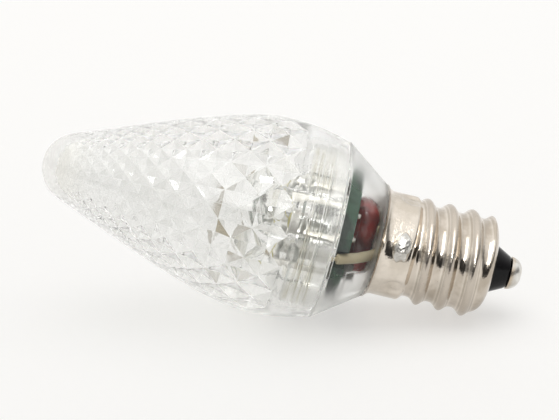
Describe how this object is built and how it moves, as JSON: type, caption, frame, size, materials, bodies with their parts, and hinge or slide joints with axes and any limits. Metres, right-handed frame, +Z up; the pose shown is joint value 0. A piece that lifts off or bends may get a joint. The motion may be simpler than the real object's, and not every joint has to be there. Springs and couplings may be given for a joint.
{
  "type": "christmas light bulb",
  "caption": "Clear faceted LED light bulb with a small screw base, lying on its side on its lens and its last thread crest.",
  "frame": {"origin": "centre of the bounding box's bottom, on the table the bulb lies on", "axes": "+X along the lying bulb's length towards its contact, which lies lower than the tip, +Y across it, away from the picture's viewer, +Z up"},
  "size_m": [0.0522, 0.0214, 0.0219],
  "materials": {
    "clear_plastic": "clear, glossy moulded plastic",
    "board_green": "green glass-fibre board, satin",
    "brick_red": "brick-red glossy resin",
    "cream_plastic": "cream wire insulation",
    "nickel": "brass sheet, bright nickel plating",
    "solder": "bright solder",
    "tin": "tinned copper or iron leads",
    "black_plastic": "black glossy moulded plastic",
    "chip_black": "black moulded chip bodies",
    "phosphor_yellow": "yellow phosphor"
  },
  "bodies": {
    "root": {"lens": "clear_plastic", "housing": "clear_plastic", "circuit_board": "board_green", "film_capacitor": "brick_red", "capacitor_lead_1": "tin", "capacitor_lead_2": "tin", "diode_1": "chip_black", "diode_2": "chip_black", "diode_3": "chip_black", "diode_4": "chip_black", "resistor_1": "chip_black", "resistor_2": "chip_black", "shell_lead": "cream_plastic", "centre_lead": "cream_plastic", "side_solder": "solder", "screw_shell": "nickel", "insulator": "black_plastic", "contact_tip": "solder", "led_1": "clear_plastic", "led_1_cathode": "tin", "led_1_anode": "tin", "led_1_phosphor": "phosphor_yellow", "led_1_cathode_solder": "solder", "led_1_anode_solder": "solder", "led_2": "clear_plastic", "led_2_cathode": "tin", "led_2_anode": "tin", "led_2_phosphor": "phosphor_yellow", "led_2_cathode_solder": "solder", "led_2_anode_solder": "solder", "led_3": "clear_plastic", "led_3_cathode": "tin", "led_3_anode": "tin", "led_3_phosphor": "phosphor_yellow", "led_3_cathode_solder": "solder", "led_3_anode_solder": "solder"}
  },
  "joints": []
}
